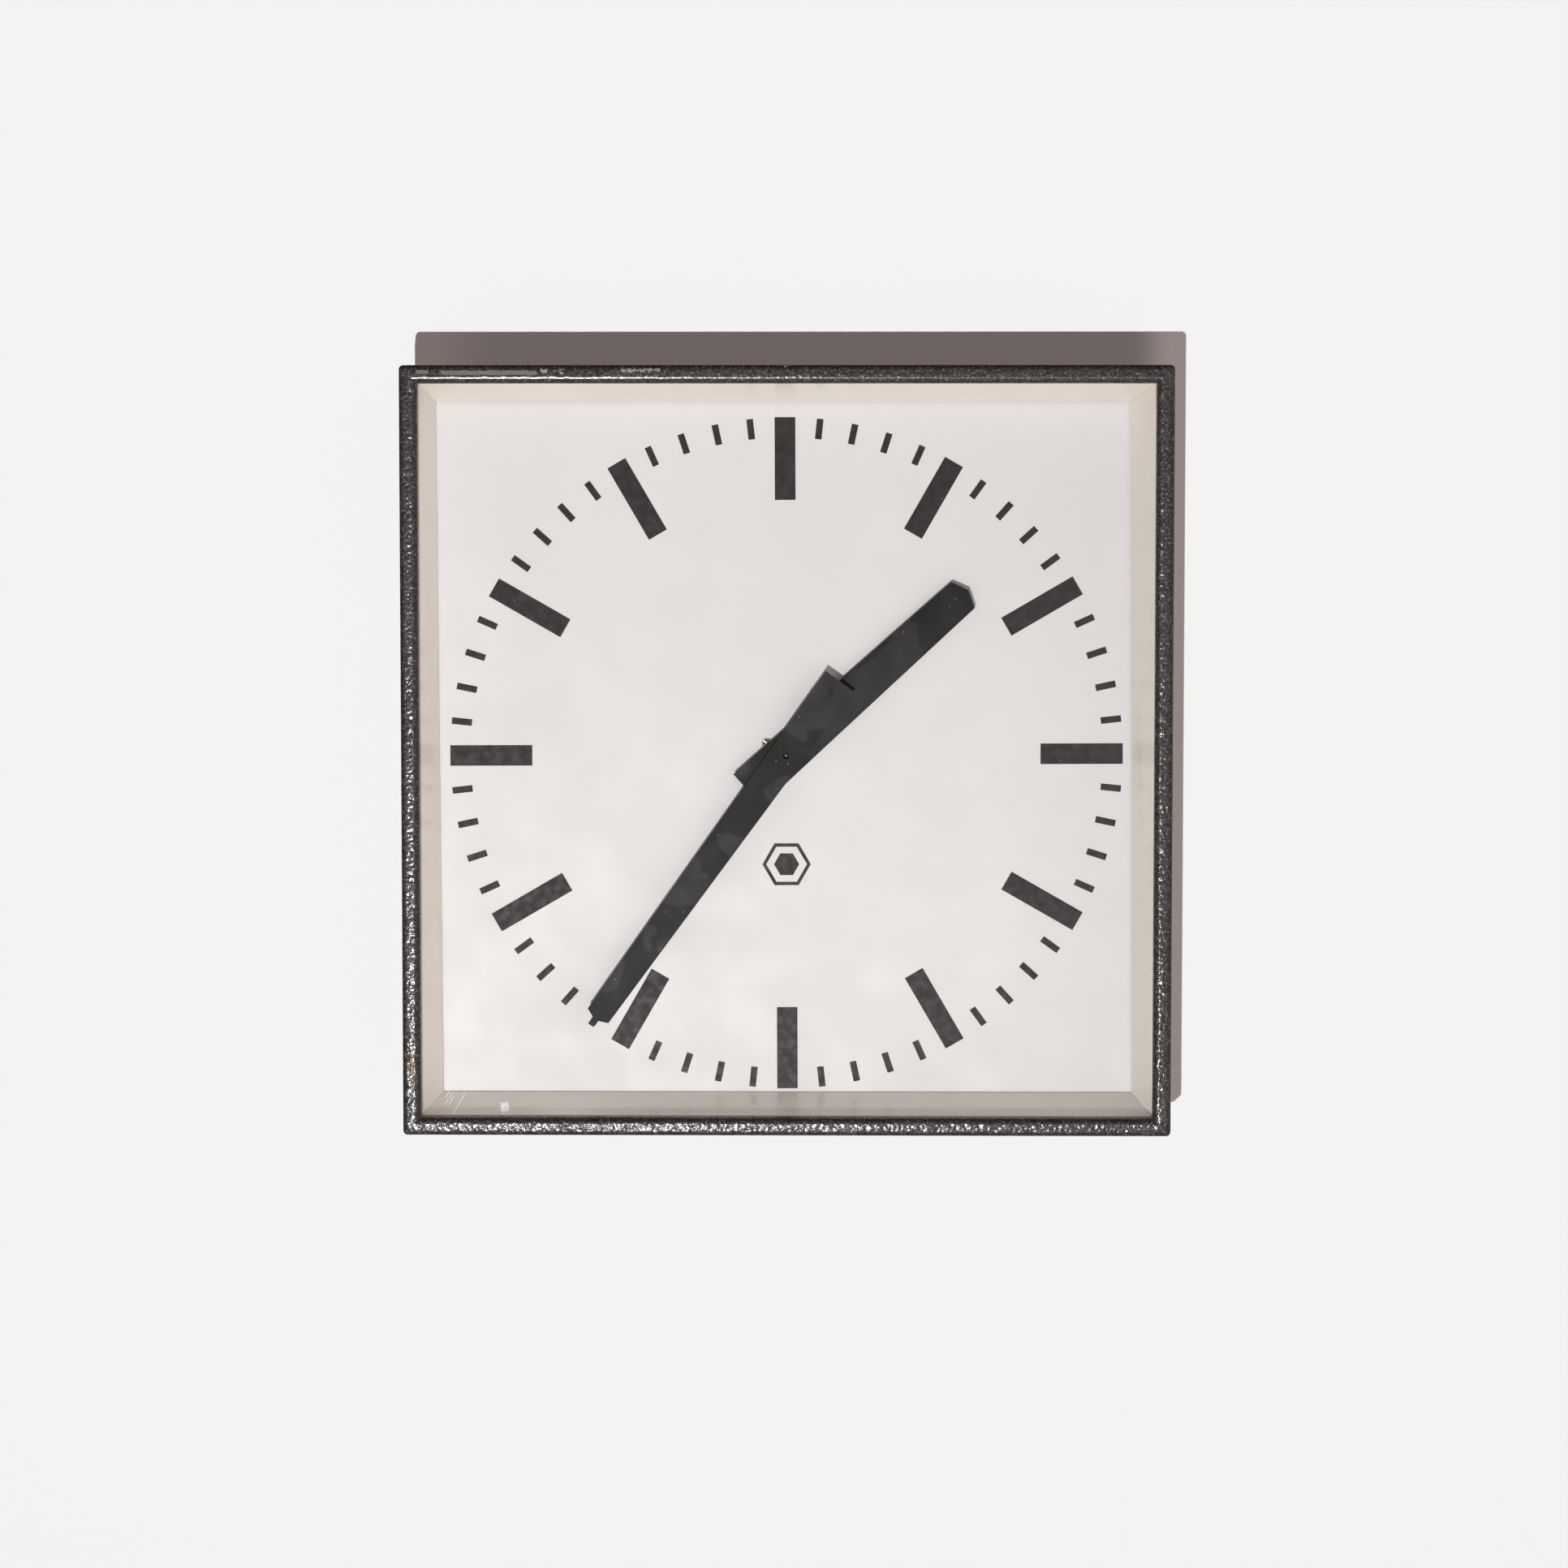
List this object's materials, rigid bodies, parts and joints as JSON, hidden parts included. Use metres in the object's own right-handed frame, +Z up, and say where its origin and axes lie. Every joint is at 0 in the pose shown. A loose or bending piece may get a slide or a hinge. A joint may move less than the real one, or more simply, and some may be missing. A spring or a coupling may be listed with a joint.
{
  "type": "wall clock",
  "caption": "Square wall-hung secondary clock with a hinged glazed steel frame, splayed reveal, bar-marked dial, creased hands and an impulse movement.",
  "frame": {"origin": "centre of the back of the case, on the wall plane", "axes": "+Y points into the wall, the dial faces -Y, +X is to the reader's right and +Z is up"},
  "size_m": [0.44, 0.08, 0.44],
  "materials": {
    "case_paint": "dark grey hammered stove enamel, semi-gloss",
    "frame_paint": "dark grey hammered metallic enamel, semi-gloss",
    "rubber": "matt black rubber",
    "zinc": "zinc plated steel, dull",
    "screw_nickel": "nickel plated, warm",
    "dial_white": "white enamel, satin",
    "print_black": "black dial print, matt",
    "reveal_cream": "cream enamel, semi-gloss",
    "clear_glass": "clear float glass",
    "hand_black": "black satin paint on sheet",
    "brass_part": "rolled brass, satin",
    "steel_part": "ground steel",
    "iron_core": "laminated silicon steel",
    "blackened_steel": "oil-blackened steel",
    "magnet_dark": "ferrite magnet",
    "bobbin_plastic": "cream moulded bobbin",
    "copper_wire": "enamelled copper wire",
    "lead_red": "red lead insulation",
    "terminal_plastic": "cream moulded plastic"
  },
  "bodies": {
    "case": {"case_back": "case_paint", "case_walls": "case_paint", "cable_grommet": "rubber", "dial_ledges": "zinc", "dial_plate": "dial_white", "hour_bars": "print_black", "minute_marks": "print_black", "dial_emblem": "print_black", "dial_screws": "zinc", "movement_screws": "screw_nickel", "reveal_top": "reveal_cream", "reveal_bottom": "reveal_cream", "reveal_left": "reveal_cream", "reveal_right": "reveal_cream", "reveal_screws": "zinc", "case_hinge_leaves": "frame_paint", "hinge_pins": "zinc", "catch_nut": "zinc", "front_plate": "brass_part", "back_plate": "brass_part", "plate_pillars": "brass_part", "plate_screws": "zinc", "dial_posts": "screw_nickel", "motion_stud": "steel_part", "rotor_bridge": "brass_part", "bridge_pillars": "steel_part", "stator_core": "iron_core", "stator_spacers": "brass_part", "stator_screws": "zinc", "coil_bobbin": "bobbin_plastic", "coil_winding": "copper_wire", "coil_leads": "lead_red", "terminal_block": "terminal_plastic", "terminal_screws": "brass_part", "earth_screw": "brass_part"},
    "door": {"door_frame": "frame_paint", "front_glass": "clear_glass", "glass_gasket": "rubber", "glass_clips": "zinc", "door_hinge_leaves": "frame_paint", "catch_tab": "frame_paint"},
    "lock": {"lock_screw": "zinc"},
    "minute": {"centre_arbor": "blackened_steel", "centre_wheel": "brass_part", "cannon_pinion": "blackened_steel", "minute_hub": "blackened_steel", "minute_hand": "hand_black", "minute_rivet": "hand_black"},
    "hour": {"hour_wheel": "brass_part", "hour_hub": "blackened_steel", "hour_hand": "hand_black"},
    "motion": {"motion_wheel": "brass_part", "motion_pinion": "steel_part"},
    "reduction": {"reduction_arbor": "steel_part", "reduction_wheel": "brass_part", "reduction_pinion": "steel_part"},
    "rotor": {"rotor_arbor": "steel_part", "rotor_pinion": "steel_part", "rotor_magnet": "magnet_dark"}
  },
  "joints": [
    {"name": "door_hinge", "type": "hinge", "parent": "case", "child": "door", "pos_m": [-0.217, -0.055, 0], "axis": [0, 0, -1], "range_deg": [0, 110]},
    {"name": "lock_turn", "type": "hinge", "parent": "case", "child": "lock", "pos_m": [0.215, -0.05, 0], "axis": [1, 0, 0], "range_deg": [0, 360]},
    {"name": "minute_spin", "type": "hinge", "parent": "case", "child": "minute", "pos_m": [-0.00065, -0.04, -0.0035], "axis": [0, 1, 0], "continuous": true},
    {"name": "hour_spin", "type": "hinge", "parent": "case", "child": "hour", "pos_m": [-0.00065, -0.04, -0.0035], "axis": [0, 1, 0], "continuous": true},
    {"name": "motion_spin", "type": "hinge", "parent": "case", "child": "motion", "pos_m": [-0.00065, -0.03, -0.0155], "axis": [0, 1, 0], "continuous": true},
    {"name": "reduction_spin", "type": "hinge", "parent": "case", "child": "reduction", "pos_m": [-0.01865, -0.022, -0.0035], "axis": [0, 1, 0], "continuous": true},
    {"name": "rotor_spin", "type": "hinge", "parent": "case", "child": "rotor", "pos_m": [-0.0099, -0.012, -0.01866], "axis": [0, 1, 0], "continuous": true}
  ],
  "couplings": [
    {"joint": "hour_spin", "follows": "minute_spin", "ratio": 0.083333},
    {"joint": "motion_spin", "follows": "minute_spin", "ratio": -0.33333},
    {"joint": "reduction_spin", "follows": "minute_spin", "ratio": -5},
    {"joint": "rotor_spin", "follows": "minute_spin", "ratio": 30}
  ]
}
